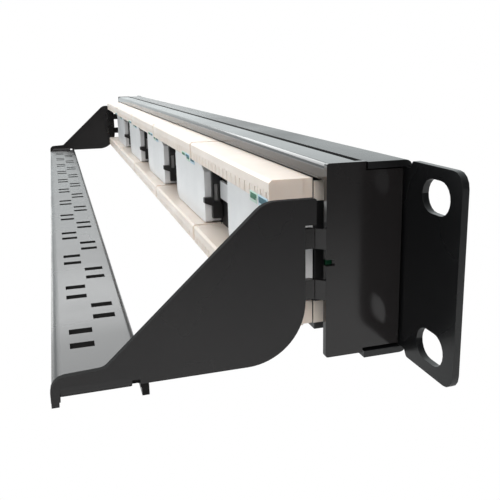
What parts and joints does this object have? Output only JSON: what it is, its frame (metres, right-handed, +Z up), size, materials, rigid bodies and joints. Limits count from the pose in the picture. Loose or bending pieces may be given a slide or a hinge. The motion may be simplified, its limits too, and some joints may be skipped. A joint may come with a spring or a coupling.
{
  "type": "patch panel",
  "caption": "One-unit rack patch panel: slotted ears, rows of modular sockets in front, terminal blocks behind and a clip-on cable bar.",
  "frame": {"origin": "middle of the panel's front face", "axes": "+X along the panel, +Y towards the cables at the rear, +Z up"},
  "size_m": [0.4826, 0.0784, 0.0458],
  "materials": {
    "black_paint": "satin",
    "black_plastic": "satin",
    "ivory_plastic": "satin",
    "label_plastic": "satin",
    "board_green": "solder mask",
    "steel": "zinc plated",
    "strip_white": "gloss"
  },
  "bodies": {
    "panel": {"front_panel": "black_paint", "rear_frame": "black_paint", "rivet_1": "steel", "rivet_2": "steel", "rivet_3": "steel", "rivet_4": "steel", "socket_block_1": "black_plastic", "socket_block_2": "black_plastic", "socket_block_3": "black_plastic", "socket_block_4": "black_plastic", "socket_block_5": "black_plastic", "circuit_board_1": "board_green", "circuit_board_2": "board_green", "circuit_board_3": "board_green", "circuit_board_4": "board_green", "circuit_board_5": "board_green", "board_screw_1": "steel", "board_screw_2": "steel", "board_screw_3": "steel", "board_screw_4": "steel", "board_screw_5": "steel", "carrier_1": "black_plastic", "carrier_2": "black_plastic", "carrier_3": "black_plastic", "carrier_4": "black_plastic", "carrier_5": "black_plastic", "label_body_1": "label_plastic", "label_body_2": "label_plastic", "label_body_3": "label_plastic", "label_body_4": "label_plastic", "label_body_5": "label_plastic", "upper_terminals_1": "ivory_plastic", "upper_terminals_2": "ivory_plastic", "upper_terminals_3": "ivory_plastic", "upper_terminals_4": "ivory_plastic", "upper_terminals_5": "ivory_plastic", "lower_terminals_1": "ivory_plastic", "lower_terminals_2": "ivory_plastic", "lower_terminals_3": "ivory_plastic", "lower_terminals_4": "ivory_plastic", "lower_terminals_5": "ivory_plastic", "port_strip_1": "strip_white", "port_strip_2": "strip_white", "port_strip_3": "strip_white", "port_strip_4": "strip_white", "port_strip_5": "strip_white", "joining_clip_1": "black_plastic", "joining_clip_2": "black_plastic", "joining_clip_3": "black_plastic", "joining_clip_4": "black_plastic"},
    "cable_bar": {"cable_bar": "black_paint"}
  },
  "joints": [
    {"name": "cable_bar_slide", "type": "slide", "parent": "panel", "child": "cable_bar", "axis": [0, 1, 0], "range_m": [0, 0.03]}
  ]
}
